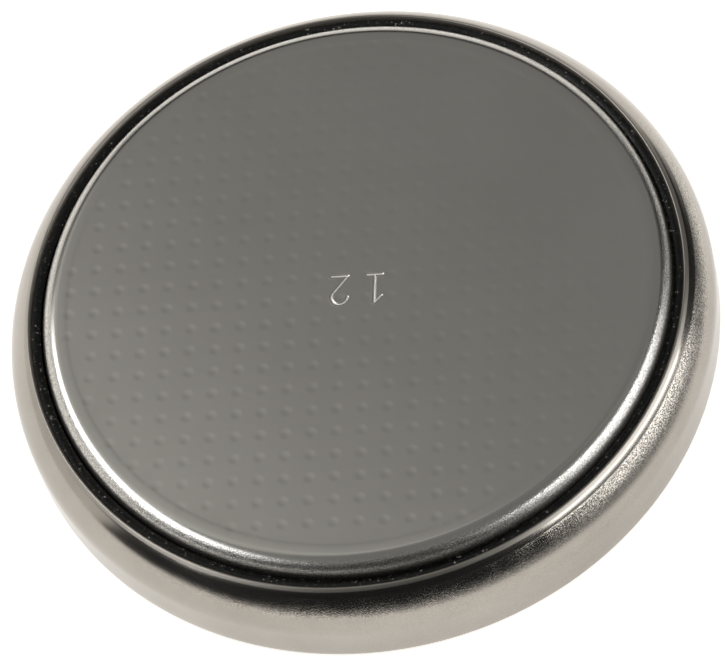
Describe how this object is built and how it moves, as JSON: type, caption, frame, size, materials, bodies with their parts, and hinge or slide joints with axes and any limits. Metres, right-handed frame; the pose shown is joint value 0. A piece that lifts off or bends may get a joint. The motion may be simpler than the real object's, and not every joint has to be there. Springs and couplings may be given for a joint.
{
  "type": "lithium coin cell",
  "caption": "Round flat coin cell with a steel can crimped over a black gasket and a dimpled negative cap.",
  "frame": {"origin": "centre of the can's outer floor, on the cell's axis", "axes": "+Z along the cell's axis, from the positive can's floor to the negative cap; +X and +Y along the rows of the cap's dimples"},
  "size_m": [0.02, 0.02, 0.0032],
  "materials": {
    "can_steel": "satin, finely scratched, burnished at the lip",
    "cap_steel": "smooth, with embossed dimples",
    "gasket_plastic": "glossy black polypropylene",
    "lithium": "dull soft metal",
    "separator_fleece": "non-woven polypropylene",
    "pellet_powder": "pressed black powder",
    "ring_steel": "plain sheet"
  },
  "bodies": {
    "root": {"positive_can": "can_steel", "negative_cap": "cap_steel", "sealing_gasket": "gasket_plastic", "lithium_anode": "lithium", "separator": "separator_fleece", "cathode_pellet": "pellet_powder", "cathode_ring": "ring_steel"}
  },
  "joints": []
}
